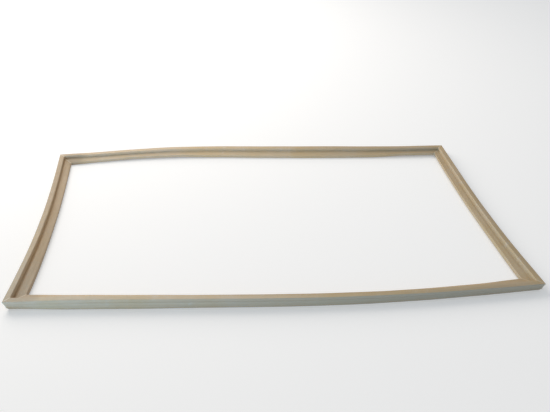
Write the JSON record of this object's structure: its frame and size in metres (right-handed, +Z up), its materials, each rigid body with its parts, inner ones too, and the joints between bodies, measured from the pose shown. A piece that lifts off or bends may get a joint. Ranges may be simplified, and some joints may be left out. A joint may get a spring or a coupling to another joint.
{
  "type": "refrigerator door gasket",
  "caption": "Soft cream frame-shaped door seal: hollow bellows profile with mitred corners, a magnet strip in each side and an arrow dart that presses into a door groove.",
  "frame": {"origin": "centre of the bounding box, on the surface that the gasket lies on", "axes": "+X along the long sides, +Y from the near long side to the far one, +Z up, out of the magnet face"},
  "size_m": [1.0804, 0.6126, 0.02],
  "materials": {
    "pvc": "cream soft PVC, satin",
    "magnet": "dark ferrite-filled rubber, matte"
  },
  "bodies": {
    "root": {"seal_frame": "pvc", "magnet_strip_near": "magnet", "magnet_strip_right": "magnet", "magnet_strip_far": "magnet", "magnet_strip_left": "magnet"}
  },
  "joints": []
}
